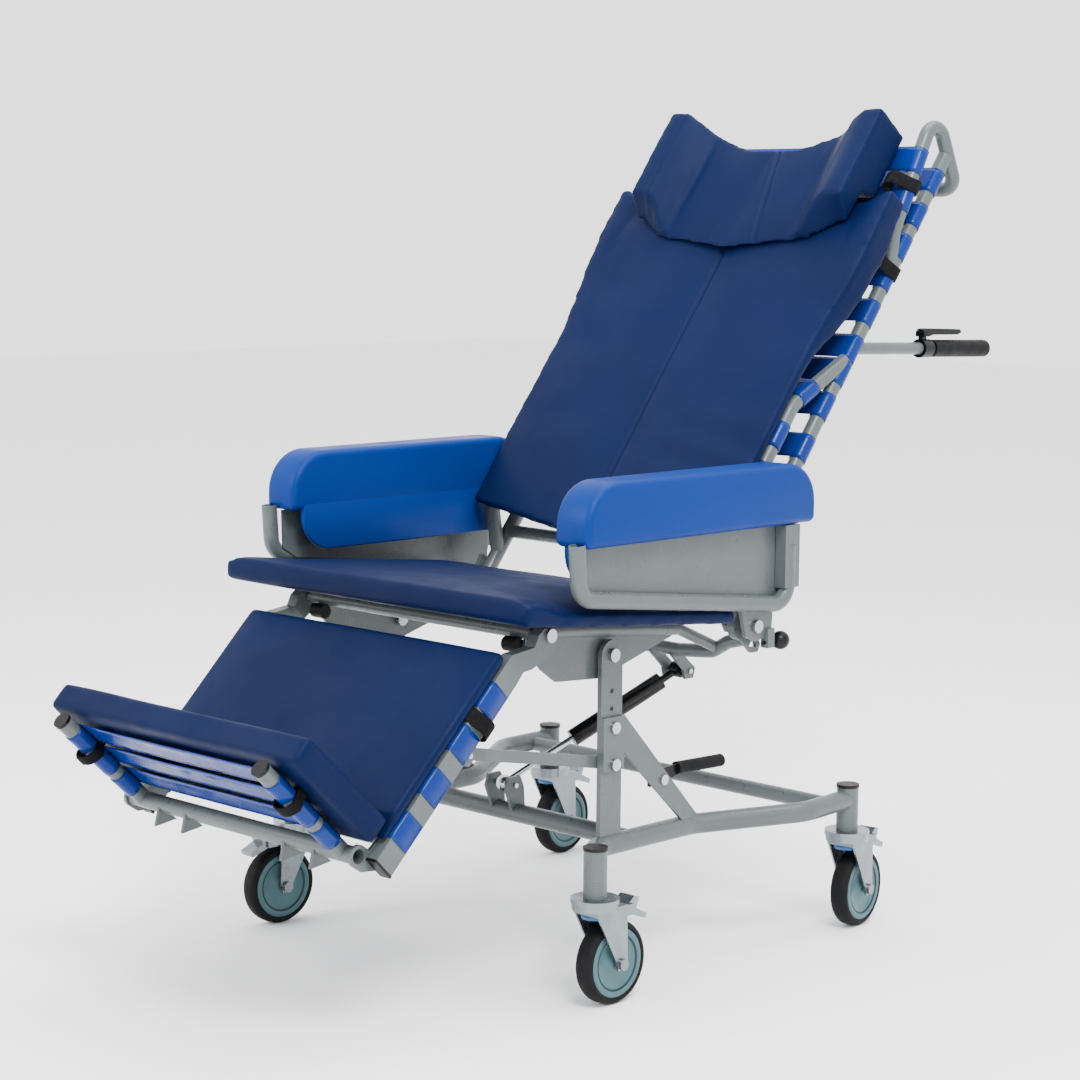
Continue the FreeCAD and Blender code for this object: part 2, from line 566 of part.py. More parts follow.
def back_cushions():
    """Back pad and winged head pad, each a flat prism in the plane of the back."""
    lean = mm("back_lean")
    turn = Rotation(X_AXIS, 90 - lean)
    back_outline = [(-275, 107), (0, 62), (275, 107), (279.5, 450), (299, 744), (-299, 744), (-279.5, 450)]
    back_pad = plate("back_pad", back_outline, 0, "back_pad_thick", plane="XY_Plane")
    back_pad.Placement = Placement(Vector(0, *back_point(0, mm("back_pad_rear"))), turn)
    node("back_cushion", back_pad)
    head_outline = [(-150, 660), (0, 626), (150, 660), (228, 716), (228, 890), (150, 850), (0, 826),
                    (-150, 850), (-228, 890), (-228, 716)]
    head_pad = plate("head_pad", head_outline, 0, "head_pad_thick", plane="XY_Plane")
    rear = mm("back_pad_rear") + mm("back_pad_thick") + mm("head_pad_gap")
    head_pad.Placement = Placement(Vector(0, *back_point(0, rear)), turn)
    node("head_cushion", head_pad)


def handle_grips():
    """Rubber grips on the handle bars, and the recline levers over them."""
    x = mm("handle_x")
    bar_end = Vector(x, 786, 919)
    axis = (bar_end - Vector(*at(mm("back_x"), back_point(520)))).normalize()
    start = bar_end - axis * 154
    grip = cut("grip", cylinder("grip_outside", start, axis, "grip_radius", 157),
               cylinder("grip_bore", start - axis * 5, axis, "handle_radius", 159))
    node("handle_grips", pair("grips", grip))
    hinge_y, hinge_z = 612, 950
    ring = cut("lever_clamp", cylinder("clamp_round", start - axis * 34, axis, "grip_radius + 1", 26),
               cylinder("clamp_bore", start - axis * 40, axis, "handle_radius", 40))
    hub = block("clamp_hub", (x - 4, hinge_y - 6, 938), (8, 12, 17.5))
    hinge_pin = pin("lever_pin", (x, hinge_y, hinge_z), "2.5", 19)
    node("lever_clamps", pair("clamps", fuse("clamp_whole", ring, hub, hinge_pin)))
    outline = [(605, 944), (619, 944), (630, 946.5), (700, 945), (712, 948.5), (706, 954), (624, 957),
               (612, 957), (605, 952)]
    blade = plate("lever_blade", outline, x - 9, 18, [(hinge_y, hinge_z, "2.5 + running_fit")])
    slot = block("lever_slot", (x - 4.4, 600, 940), (8.8, 27, 20))
    lever = node("recline_lever_left", cut("lever_whole", blade, slot))
    node("recline_lever_right", mirrored(lever))


# --------------------------------------------------------------------------- leg rest and foot rest

HINGE_ALONG = 342
HINGE_NORMAL = 32
LEG_LIP_START = 270


def leg_point(along, normal=0.0):
    """A side-view point of the leg rest: down its rails, and forward of them."""
    return yz((-374, 493), 180 + mm("leg_drop"), along, -normal)


def link_point():
    """Where the raising link meets the leg rest."""
    return leg_point(120, -mm("leg_rail_deep") / 2 - 12)


def foot_point(along, normal=0.0):
    """A side-view point of the foot rest: out along its tubes, and towards the calf."""
    return yz(leg_point(HINGE_ALONG, HINGE_NORMAL), 180 - mm("foot_rise"), along, -normal)


def leg_frame():
    """Rails with their curved arms, cross tubes, link lugs and foot hinge lugs.

    Returns the weldment before its cross tubes are hollowed.
    """
    x, wide = mm("leg_x"), mm("leg_rail_wide")
    half = mm("leg_rail_deep") / 2
    low_x = x - wide / 2
    turn = Rotation(X_AXIS, 180 + mm("leg_drop"))
    rail = block("leg_rail", at(low_x, leg_point(0, half)),
                 ("leg_rail_wide", "leg_rail_length", "leg_rail_deep"), turn)
    bore = block("leg_rail_bore", at(low_x + 2, leg_point(40, half - 2)),
                 ("leg_rail_wide - 4", 320, "leg_rail_deep - 4"), turn)
    knee_y, knee_z = mm("knee_y"), mm("knee_z")
    arm_outline = [leg_point(2, -half), leg_point(-22, 2 - half), (knee_y - 36, knee_z - 45),
                   (knee_y - 8, knee_z - 34), (knee_y + 14, knee_z - 18), (knee_y + 19, knee_z),
                   (knee_y + 8, knee_z + 10), (knee_y - 10, knee_z + 11), (knee_y - 22, knee_z + 2),
                   (knee_y - 30, knee_z - 14), leg_point(-24, half), leg_point(2, half)]
    knee_hole = (knee_y, knee_z, "pin_radius + running_fit")
    arm = plate("leg_arm", arm_outline, low_x, "leg_rail_wide", [knee_hole])
    link_end = link_point()
    lug_outline = [leg_point(96, 1 - half), leg_point(108, -half - 22), leg_point(132, -half - 22),
                   leg_point(146, 1 - half)]
    lug = plate("link_lug", lug_outline, low_x, 6, [(*link_end, "4")])
    hinge_lug_outline = [leg_point(300, half - 1), leg_point(324, 22)]
    for step in range(9):
        turned = math.radians(step * 22.5)
        along, normal = HINGE_ALONG - 16.2 * math.cos(turned), HINGE_NORMAL + 16.2 * math.sin(turned)
        hinge_lug_outline.append(leg_point(along, normal))
    hinge_lug_outline += [leg_point(354, 12), leg_point(334, 8 - half), leg_point(300, 8 - half)]
    hinge_lug = plate("foot_hinge_lug", hinge_lug_outline, low_x - 6, 6,
                      [(*leg_point(HINGE_ALONG, HINGE_NORMAL), "foot_tube + running_fit")])
    crosses, bores = [], []
    for along in (60, 290):
        centre = leg_point(along, -4)
        cross, cross_bore = pipe("leg_cross", at(-x, centre), at(x, centre), "10")
        crosses.append(cross)
        bores.append(cross_bore)
    right = [cut("leg_rail_tube", rail, bore), arm, lug, hinge_lug]
    solid = fuse("leg_solid", *right, *[mirrored(piece) for piece in right], *crosses)
    node("leg_frame", cut("leg_weldment", solid, *bores))
    plug = block("leg_end", at(low_x, leg_point(mm("leg_rail_length"), half + 0.5)),
                 ("leg_rail_wide + 0.5", 4, "leg_rail_deep + 1"), turn)
    node("leg_rail_plugs", pair("plugs", plug))
    link_pin = fuse("link_end_pin",
                    cylinder("link_end_shank", at(226, link_end), (1, 0, 0), "4", low_x + 8 - 226),
                    cylinder("link_end_head", at(226, link_end), (1, 0, 0), "7", 3.4))
    node("link_end_pins", pair("link_pins", link_pin))
    return solid


def leg_straps(frame):
    """Straps wrapped round the leg rails and stretched between them."""
    x, wide, deep = mm("leg_x"), mm("leg_rail_wide"), mm("leg_rail_deep")
    thick = mm("strap_thick")
    turn = Rotation(X_AXIS, 180 + mm("leg_drop"))
    straps = []
    for along in (24, 100, 176, 252):
        outer = block("wrap", at(x - wide / 2 - thick, leg_point(along, deep / 2 + thick)),
                      (wide + 2 * thick, "strap_wide", deep + 2 * thick), turn)
        inner = block("wrap_bore", at(x - wide / 2, leg_point(along - 1, deep / 2)),
                      (wide, "strap_wide + 2", deep), turn)
        band = block("band", at(-x, leg_point(along, deep / 2 + thick)),
                     (2 * x, "strap_wide", "strap_thick"), turn)
        whole = fuse("leg_strap_whole", outer, mirrored(outer), band)
        straps.append(cut("leg_strap", whole, inner, mirrored(inner), frame))
    node("leg_straps", group("leg_strap_group", *straps))


def leg_links():
    """Flat links that raise the leg rest as the seat tilts back."""
    start = (mm("tilt_y"), mm("link_bolt_z"))
    end = link_point()
    length = math.hypot(end[0] - start[0], end[1] - start[1])
    angle = math.degrees(math.atan2(end[1] - start[1], end[0] - start[0]))
    near, far = -12, length + 10
    outline = [yz(start, angle, near, -9), yz(start, angle, far, -9), yz(start, angle, far, 9),
               yz(start, angle, near, 9)]
    holes = [(*start, "pin_radius + running_fit"), (*end, "6")]
    for name, low in (("left", 229.8), ("right", -233.8)):
        node("leg_link_" + name, plate("link_" + name, outline, low, 4, holes))


def leg_cushion():
    """The calf pad on the leg straps, with a thin lip tucked under the sole pad."""
    rear = mm("leg_rail_deep") / 2 + mm("strap_thick") + 0.6
    turn = Rotation(X_AXIS, 180 + mm("leg_drop"))
    pad = block("leg_pad", at(-mm("leg_pad_half_width"), leg_point(-18, rear + mm("leg_pad_thick"))),
                ("2*leg_pad_half_width", "leg_pad_length", "leg_pad_thick"), turn)
    lip = block("leg_pad_lip", at(-mm("leg_pad_half_width"), leg_point(LEG_LIP_START, rear + 12)),
                ("2*leg_pad_half_width", 36, 12), turn)
    node("leg_cushion", fuse("leg_pad_whole", pad, lip))


def foot_frame():
    """Cross tube that turns in the leg rest's lugs, two tubes and paired gussets."""
    x, hinge = mm("foot_x"), foot_point(0)
    cross, cross_bore = pipe("foot_cross", at(-251.7, hinge), at(251.7, hinge), "foot_tube")
    end = foot_point(mm("foot_tube_length"))
    side, side_bore = pipe("foot_side", at(x, hinge), at(x, end), "foot_tube")
    gusset_outline = [foot_point(-2, -6), foot_point(-30, -4), foot_point(-6, -34), foot_point(8, -10)]
    gussets = [plate("gusset", gusset_outline, place - 2.5, 5) for place in (-172, -110, 110, 172)]
    solid = fuse("foot_solid", cross, side, mirrored(side), *gussets)
    node("foot_frame", cut("foot_weldment", solid, cross_bore, side_bore, mirrored(side_bore)))
    direction = (0, *yz((0, 0), 180 - mm("foot_rise"), 1))
    cap = cylinder("foot_cap", at(x, end), direction, "foot_tube + 0.6", 5)
    node("foot_tube_caps", pair("foot_caps", cap))


def foot_straps():
    """Straps round the foot tubes and stretched between them."""
    x = mm("foot_x")
    angle = 180 - mm("foot_rise")
    direction = Vector(0, *yz((0, 0), angle, 1))
    wide = 40
    straps = []
    for along in (48, 101, 154):
        start = Vector(x, *foot_point(along - wide / 2))
        sleeve = cylinder("foot_sleeve", start, direction, "foot_tube + strap_thick", wide)
        bore = cylinder("foot_sleeve_bore", start - direction, direction, "foot_tube", wide + 2)
        low = at(-x, foot_point(along - wide / 2, mm("foot_tube") + mm("strap_thick")))
        band = block("foot_band", low, (2 * x, wide, "strap_thick"), Rotation(X_AXIS, angle))
        whole = fuse("foot_strap_whole", sleeve, mirrored(sleeve), band)
        straps.append(cut("foot_strap", whole, bore, mirrored(bore)))
    node("foot_straps", group("foot_strap_group", *straps))


def foot_cushion():
    """The sole pad on the foot straps."""
    rear = mm("foot_tube") + mm("strap_thick") + 3
    turn = Rotation(X_AXIS, 180 - mm("foot_rise"))
    pad = block("foot_pad", at(-mm("leg_pad_half_width"), foot_point(2, rear + mm("foot_pad_thick"))),
                ("2*leg_pad_half_width", "foot_pad_length", "foot_pad_thick"), turn)
    node("foot_cushion", pad)


# --------------------------------------------------------------------------- arms

def arm(name, side):
    """An arm that swings up and back: bent tube, side sheet, rear post and moulded pad."""
    x = mm("arm_x")
    corners = [(x, -306, 680), (x, -300, 602), (x, 166, 548), (x, 166, 640)]
    loop, loop_bore = tube("arm_loop_" + name, corners, "arm_tube", 30)
    post = block("arm_post", (x - 10, 149, 575), (20, 34, 97))
    sheet_outline = [(-292, 672), (-290, 612), (-262, 594), (166, 546), (166, 672)]
    side_sheet = plate("side_sheet", sheet_outline, x - 14.5, 3)
    recline_y, recline_z = mm("recline_y"), mm("recline_z")
    hanger_outline = [(recline_y - 22, recline_z - 14), (recline_y, recline_z - 24),
                      (recline_y + 22, recline_z - 20), (recline_y + 38, recline_z - 20),
                      (recline_y + 42, 556), (recline_y - 40, 566)]
    pivot_hole = (recline_y, recline_z, "pin_radius + running_fit")
    hanger = plate("arm_hanger", hanger_outline, x - 13.5, 7, [pivot_hole])
    knob_x, knob_z = x - 6, 492
    stop = block("knob_block", (x - 13.5, 122, knob_z - 8), (14, 16, 30))
    knob_bore = cylinder("knob_bore", (knob_x, 110, knob_z), (0, 1, 0), "3 + running_fit", 40)
    well = cylinder("arm_pin_well", (x - 6.5, recline_y, recline_z), (1, 0, 0), "11", 30)
    whole = fuse("arm_whole_" + name, loop, post, side_sheet, hanger, stop)
    shape = cut("arm_shape_" + name, whole, knob_bore, well, loop_bore)
    top, low, front, back = mm("pad_top"), mm("pad_bottom"), mm("pad_front_y"), mm("pad_rear_y")
    pad_outline = [(front, low), (front - 1, 700), (front + 3, 733), (front + 17, top - 11),
                   (front + 38, top), (back - 52, top), (back - 25, top - 10), (back - 7, 738),
                   (back, 712), (back, low)]
    inner, foot = mm("pad_inner_x"), mm("skirt_bottom")
    pad = plate("arm_pad_top_" + name, pad_outline, inner, "pad_outer_x - pad_inner_x")
    skirt_outline = [(front, low + 1), (front + 2, 640), (front + 16, foot + 11), (front + 38, foot),
                     (140, foot), (140, low + 1)]
    skirt = plate("arm_skirt_" + name, skirt_outline, inner, 12)
    slot = block("pad_slot", (x - 15, front - 10, 600), (31, 500, 81))
    moulded = cut("arm_moulding_" + name, fuse("pad_and_skirt_" + name, pad, skirt), slot)
    knob = fuse("knob_" + name, cylinder("knob_shaft", (knob_x, 116, knob_z), (0, 1, 0), "3", 36),
                ball("knob_ball", (knob_x, 160, knob_z), "14.5"))
    for label, piece in (("arm_frame_", shape), ("arm_pad_", moulded), ("arm_lock_knob_", knob)):
        node(label + name, piece if side > 0 else mirrored(piece))


# --------------------------------------------------------------------------- gas spring

SPRING_SWING = (-0.79622, 0.56643, -0.21258)


def gas_spring():
    """Locking gas spring: rod and lower eye, and cylinder with its upper eye."""
    foot = Vector(mm("spring_foot_x"), mm("spring_foot_y"), mm("spring_foot_z"))
    head = Vector(mm("spring_head_x"), mm("spring_head_y"), mm("spring_head_z"))
    axis = head - foot
    length = axis.Length
    axis.normalize()
    ring = pin("foot_eye_round", foot, "13", 7, SPRING_SWING)
    eye = cut("foot_eye", ring, ball("foot_eye_bore", foot, "9 + running_fit", SPRING_SWING))
    rod = cylinder("rod_bar", foot + axis * 10.6, axis, "spring_rod", 185.4)
    node("spring_rod", fuse("rod_whole", eye, rod))
    barrel = cylinder("barrel", foot + axis * 130, axis, "spring_body", length - 130 - 34)
    barrel_bore = cylinder("barrel_bore", foot + axis * 120, axis, "spring_rod + running_fit",
                           length - 120 - 50)
    neck = cylinder("neck", foot + axis * (length - 36), axis, "6", 26)
    head_eye = pin("head_eye", head, "13", 16)
    head_bore = pin("head_eye_bore", head, "8.6", 60)
    cylinder_solid = fuse("cylinder_solid", barrel, neck, head_eye)
    node("spring_cylinder", cut("cylinder_whole", cylinder_solid, barrel_bore, head_bore))


# --------------------------------------------------------------------------- assembly

base_frame()
uprights()
base_fasteners()
castor_mounts()
for castor_name, (castor_side, castor_row, castor_swivel) in CASTORS.items():
    castor(castor_name, castor_side * mm("castor_x"), mm(castor_row), castor_swivel)
foot_pedal()
seat_frame()
seat_fasteners()
seat_cushion()
back_straps(back_frame())
back_cushions()
handle_grips()
leg_straps(leg_frame())
leg_links()
leg_cushion()
foot_frame()
foot_straps()
foot_cushion()
arm("left", 1)
arm("right", -1)
gas_spring()

doc.recompute()
for thing in doc.Objects:
    if "Invalid" in thing.State or "Error" in thing.State:
        raise SystemExit(f"{thing.Name} failed: {thing.State}")
for thing in NODES:
    if thing.Shape.isNull() or not thing.Shape.isValid():
        raise SystemExit(f"{thing.Label} has no valid shape")

os.makedirs("parts", exist_ok=True)
for old in os.listdir("parts"):
    if old.endswith(".step"):
        os.remove(os.path.join("parts", old))
for thing in NODES:
    thing.Shape.exportStep(f"parts/{thing.Label}.step")
print(len(NODES), "nodes")
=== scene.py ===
"""Patient recliner chair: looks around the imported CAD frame. Lengths are in metres."""
import math

import bmesh
import bpy
from mathutils import Matrix, Vector, noise


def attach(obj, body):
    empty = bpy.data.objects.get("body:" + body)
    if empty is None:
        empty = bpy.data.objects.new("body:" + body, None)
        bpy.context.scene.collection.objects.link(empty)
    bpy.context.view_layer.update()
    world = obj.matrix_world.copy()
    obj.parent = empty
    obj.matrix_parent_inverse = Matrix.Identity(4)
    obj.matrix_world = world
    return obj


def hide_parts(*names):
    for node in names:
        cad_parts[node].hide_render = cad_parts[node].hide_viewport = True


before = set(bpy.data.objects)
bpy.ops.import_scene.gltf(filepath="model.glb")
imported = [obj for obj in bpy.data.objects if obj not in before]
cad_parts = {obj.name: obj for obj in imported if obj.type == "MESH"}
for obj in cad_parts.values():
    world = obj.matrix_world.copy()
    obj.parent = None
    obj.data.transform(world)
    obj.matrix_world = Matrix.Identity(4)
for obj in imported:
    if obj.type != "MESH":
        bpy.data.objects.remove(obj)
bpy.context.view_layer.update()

SIDES = {"left": 1, "right": -1}
# Castors: place of the king pin, and swivel in degrees from trailing straight back.
CASTORS = {"front_left": (0.332, -0.257, 0), "front_right": (-0.332, -0.257, 176),
           "rear_left": (0.332, 0.337, 8), "rear_right": (-0.332, 0.337, 3)}
WHEEL_RADIUS = 0.0625
WHEEL_HALF = 0.015
CASTOR_TRAIL = 0.034
BACK_TUBE_X = 0.262
FOOT_TUBE_X = 0.221
TUBE_WRAP = 0.0132
STRAP_WIDE = 0.045
FOOT_STRAP_WIDE = 0.040
STRAP_THICK = 0.0014
BACK_ANGLE = 52.1
HEAD_SHIFT = 0.010
SEAL_TOP = 0.1405
scene = bpy.context.scene


# ------------------------------------------------------------------ camera, light and floor

def set_camera():
    """A long lens at seat height, off the chair's front left."""
    azimuth, elevation, roll = math.radians(44.11), math.radians(7.27), math.radians(0.51)
    back = Vector((math.sin(azimuth) * math.cos(elevation), -math.cos(azimuth) * math.cos(elevation),
                   math.sin(elevation)))
    level = Vector((math.cos(azimuth), math.sin(azimuth), 0))
    upright = back.cross(level)
    right = level * math.cos(roll) + upright * math.sin(roll)
    up = upright * math.cos(roll) - level * math.sin(roll)
    camera = bpy.data.objects.new("camera", bpy.data.cameras.new("camera"))
    camera.data.sensor_width = 36
    camera.data.lens = 85.207
    camera.data.clip_end = 60
    turn = Matrix((right, up, back)).transposed().to_4x4()
    camera.matrix_world = Matrix.Translation((2.77166, -2.89414, 1.14082)) @ turn
    scene.collection.objects.link(camera)
    scene.camera = camera


def area_light(name, place, target, size, power):
    """A round soft light aimed at a point."""
    light = bpy.data.objects.new(name, bpy.data.lights.new(name, "AREA"))
    light.data.shape = "DISK"
    light.data.size = size
    light.data.energy = power
    light.location = place
    light.rotation_euler = (Vector(target) - Vector(place)).to_track_quat("-Z", "Y").to_euler()
    scene.collection.objects.link(light)


def set_stage():
    """Bright even room, three soft lights and a pale floor."""
    world = bpy.data.worlds.new("studio")
    world.use_nodes = True
    background = world.node_tree.nodes["Background"]
    background.inputs["Color"].default_value = (0.97, 0.98, 1.0, 1)
    background.inputs["Strength"].default_value = 2.3
    scene.world = world
    area_light("key", (2.6, -1.6, 3.8), (0, 0, 0.6), 1.6, 260)
    area_light("front", (-1.8, -3.6, 2.6), (0, -0.2, 0.6), 1.8, 110)
    area_light("top", (0.3, 0.8, 4.2), (0, 0, 0.4), 3.0, 160)
    mesh = bpy.data.meshes.new("floor")
    far = 14
    mesh.from_pydata([(-far, -far, 0), (far, -far, 0), (far, far, 0), (-far, far, 0)], [], [(0, 1, 2, 3)])
    floor = bpy.data.objects.new("floor", mesh)
    scene.collection.objects.link(floor)
    paper = material("floor_paper", (0.93, 0.93, 0.93), 0.85, grain=(40, 0.01), tint=0.01)
    floor.data.materials.append(paper)


# ------------------------------------------------------------------ materials

def srgb(red, green, blue):
    """Linear colour from 8-bit display values."""
    def linear(value):
        value /= 255
        return value / 12.92 if value <= 0.04045 else ((value + 0.055) / 1.055) ** 2.4
    return linear(red), linear(green), linear(blue)


def material(name, color, rough, metal=0.0, gloss=0.5, tint=0.06, mottle=9.0, rough_swing=0.08,
             grain=(700, 0.05), weave=None, crease=None):
    """A procedural finish: mottled colour, uneven roughness, and bump from grain, weave and creases."""
    made = bpy.data.materials.new(name)
    made.use_nodes = True
    nodes, links = made.node_tree.nodes, made.node_tree.links
    shader = nodes["Principled BSDF"]
    shader.inputs["Metallic"].default_value = metal
    shader.inputs["Specular IOR Level"].default_value = gloss
    place = nodes.new("ShaderNodeTexCoord").outputs["Object"]

    def noise_at(scale, detail=4.0, distortion=0.0):
        texture = nodes.new("ShaderNodeTexNoise")
        texture.inputs["Scale"].default_value = scale
        texture.inputs["Detail"].default_value = detail
        texture.inputs["Distortion"].default_value = distortion
        links.new(place, texture.inputs["Vector"])
        return texture.outputs["Fac"]

    def ramp(source, stops):
        node = nodes.new("ShaderNodeValToRGB")
        for element, (position, colour) in zip(node.color_ramp.elements, stops):
            element.position = position
            element.color = (*colour, 1)
        links.new(source, node.inputs["Fac"])
        return node.outputs["Color"]

    dark = tuple(channel * (1 - tint) for channel in color)
    light = tuple(min(1.0, channel * (1 + tint)) for channel in color)
    tone = ramp(noise_at(mottle, 5, 0.4), [(0.3, dark), (0.7, light)])
    links.new(tone, shader.inputs["Base Color"])
    low, high = max(0.02, rough - rough_swing), min(1.0, rough + rough_swing)
    shine = ramp(noise_at(mottle * 3, 3), [(0.3, (low,) * 3), (0.7, (high,) * 3)])
    links.new(shine, shader.inputs["Roughness"])

    surface = None

    def bump(height, strength, distance):
        nonlocal surface
        node = nodes.new("ShaderNodeBump")
        node.inputs["Strength"].default_value = strength
        node.inputs["Distance"].default_value = distance
        links.new(height, node.inputs["Height"])
        if surface:
            links.new(surface, node.inputs["Normal"])
        surface = node.outputs["Normal"]

    bump(noise_at(grain[0], 3), grain[1], 0.0006)
    if weave:
        for direction in ("X", "Z"):
            wave = nodes.new("ShaderNodeTexWave")
            wave.bands_direction = direction
            wave.inputs["Scale"].default_value = weave[0]
            wave.inputs["Distortion"].default_value = 0.6
            links.new(place, wave.inputs["Vector"])
            bump(wave.outputs["Fac"], weave[1], 0.0003)
    if crease:
        bump(noise_at(crease[0], 2, 1.5), crease[1], 0.004)
    links.new(surface, shader.inputs["Normal"])
    return made


set_camera()
set_stage()

FABRIC = material("navy_fabric", srgb(1, 14, 48), 0.52, gloss=0.07, tint=0.12, mottle=5,
                  grain=(900, 0.06), weave=(420, 0.10), crease=(8, 0.10))
STRAP = material("blue_vinyl", srgb(0, 33, 100), 0.24, gloss=0.17, tint=0.08, mottle=14, grain=(500, 0.04),
                 crease=(11, 0.06))
FOAM = material("blue_foam", srgb(0, 38, 104), 0.42, gloss=0.09, tint=0.05, mottle=4, grain=(1400, 0.12),
                crease=(5, 0.05))
PAINT = material("grey_paint", srgb(72, 79, 80), 0.32, gloss=0.35, tint=0.06, mottle=14, grain=(260, 0.06))
ZINC = material("zinc", srgb(118, 125, 129), 0.26, metal=0.9, tint=0.10, mottle=22, rough_swing=0.10,
                grain=(180, 0.10))
STEEL = material("bolt_steel", srgb(170, 173, 176), 0.24, metal=1.0, tint=0.10, mottle=60, grain=(500, 0.1))
CHROME = material("bright_rod", srgb(190, 193, 197), 0.10, metal=1.0, tint=0.03, mottle=30, rough_swing=0.03,
                  grain=(300, 0.02))
BLACK = material("black_plastic", srgb(8, 8, 9), 0.36, gloss=0.18, tint=0.15, mottle=30, grain=(800, 0.15))
RUBBER = material("black_rubber", srgb(8, 8, 9), 0.62, gloss=0.14, tint=0.15, mottle=24, grain=(600, 0.30))
SPRING = material("black_paint", srgb(8, 8, 9), 0.28, gloss=0.25, tint=0.12, mottle=20, grain=(300, 0.05))
TYRE = material("black_tyre", srgb(13, 13, 14), 0.68, gloss=0.12, tint=0.14, mottle=26, grain=(420, 0.35))
DISC = material("wheel_disc", srgb(56, 86, 91), 0.42, gloss=0.25, tint=0.06, mottle=18, grain=(500, 0.08))
# Painted shade: the hub's groove ring is a darker copy of the disc colour, standing in for the shade inside
# the recess.
GROOVE_SHADE = material("wheel_groove_painted_shade", srgb(12, 34, 44), 0.5, gloss=0.3, tint=0.1, mottle=30, grain=(400, 0.1))
CAP = material("socket_cap", srgb(22, 19, 18), 0.45, gloss=0.15, tint=0.12, mottle=40, grain=(700, 0.2))
BLUE_PLASTIC = material("blue_plastic", srgb(6, 78, 128), 0.35, gloss=0.4, tint=0.08, mottle=30,
                        grain=(600, 0.1))
TIE = material("hook_tie", srgb(8, 8, 9), 0.8, gloss=0.1, tint=0.2, mottle=60, grain=(900, 0.6))


def paint_node(name, finish):
    """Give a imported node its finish."""
    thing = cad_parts[name]
    thing.data.materials.clear()
    thing.data.materials.append(finish)
    return thing


def soften(thing, width, segments=2, angle=40):
    """Break the sharp edges of a piece."""
    bevel = thing.modifiers.new("edges", "BEVEL")
    bevel.width = width
    bevel.segments = segments
    bevel.limit_method = "ANGLE"
    bevel.angle_limit = math.radians(angle)


# ------------------------------------------------------------------ side-view frames, as in the CAD

def turned(origin, angle, along, normal):
    """The (y, z) of a point given along and square to a line through origin at an angle."""
    turn = math.radians(angle)
    return (origin[0] + along * math.cos(turn) - normal * math.sin(turn),
            origin[1] + along * math.sin(turn) + normal * math.cos(turn))


def back_point(along, normal=0.0):
    return turned((0.0914, 0.520), BACK_ANGLE, along, normal)


def leg_point(along, normal=0.0):
    return turned((-0.374, 0.493), 224.3, along, -normal)


def foot_point(along, normal=0.0):
    return turned(leg_point(0.342, 0.032), 136.5, along, -normal)


def seat_point(along, normal=0.0):
    return turned((-0.375, 0.566), -5.3, along, normal)


def arm_point(along, normal=0.0):
    return along, normal


# ------------------------------------------------------------------ mesh helpers

def add_mesh(name, vertices, faces, finishes):
    """A smooth-shaded object in the scene from vertices and faces."""
    mesh = bpy.data.meshes.new(name)
    mesh.from_pydata(vertices, [], faces)
    mesh.validate()
    for finish in finishes:
        mesh.materials.append(finish)
    thing = bpy.data.objects.new(name, mesh)
    scene.collection.objects.link(thing)
    shaped = bmesh.new()
    shaped.from_mesh(mesh)
    bmesh.ops.recalc_face_normals(shaped, faces=shaped.faces)
    for face in shaped.faces:
        face.smooth = True
    shaped.to_mesh(mesh)
    shaped.free()
    return thing


def bake(thing):
    """Replace the mesh by its evaluated self and drop the modifiers."""
    graph = bpy.context.evaluated_depsgraph_get()
    mesh = bpy.data.meshes.new_from_object(thing.evaluated_get(graph))
    for finish in thing.data.materials:
        if finish.name not in mesh.materials:
            mesh.materials.append(finish)
    thing.modifiers.clear()
    thing.data = mesh
    for face in mesh.polygons:
        face.use_smooth = True


def smoothstep(value, low, high):
    value = max(0.0, min(1.0, (value - low) / (high - low)))
    return value * value * (3 - 2 * value)


def lathe(name, centre, axis, profile, finishes, bands=(), steps=64):
    """A turned piece: profile is (distance along axis, radius) points; bands name each run's finish."""
    axis = Vector(axis).normalized()
    side = axis.orthogonal().normalized()
    other = axis.cross(side)
    centre = Vector(centre)
    vertices, faces = [], []
    count = len(profile)
    for along, radius in profile:
        for step in range(steps):
            turn = 2 * math.pi * step / steps
            spoke = side * math.cos(turn) + other * math.sin(turn)
            vertices.append(centre + axis * along + spoke * radius)
    for row in range(count - 1):
        for step in range(steps):
            after = (step + 1) % steps
            faces.append((row * steps + step, row * steps + after, (row + 1) * steps + after,
                          (row + 1) * steps + step))
    closed = profile[0] == profile[-1]
    if not closed:
        faces.append(tuple(range(steps)))
        faces.append(tuple((count - 1) * steps + step for step in range(steps)))
    thing = add_mesh(name, vertices, faces, finishes)
    for row, band in enumerate(bands):
        for step in range(steps):
            thing.data.polygons[row * steps + step].material_index = band
    if closed:
        weld(thing)
    return thing


def weld(thing, distance=0.00002):
    """Join vertices that lie on one another."""
    shaped = bmesh.new()
    shaped.from_mesh(thing.data)
    bmesh.ops.remove_doubles(shaped, verts=shaped.verts, dist=distance)
    bmesh.ops.recalc_face_normals(shaped, faces=shaped.faces)
    shaped.to_mesh(thing.data)
    shaped.free()


def prism(name, outline, low_x, high_x, place, finishes, bevel=0.0, segments=3):
    """A plate from its side-view outline, between two X, with rounded edges."""
    count = len(outline)
    vertices = [(x, *place(along, normal)) for x in (low_x, high_x) for along, normal in outline]
    faces = [tuple(range(count)), tuple(range(2 * count - 1, count - 1, -1))]
    for index in range(count):
        after = (index + 1) % count
        faces.append((index, after, count + after, count + index))
    thing = add_mesh(name, vertices, faces, finishes)
    if bevel:
        soften(thing, bevel, segments, 28)
        bake(thing)
    return thing


# ------------------------------------------------------------------ cushions

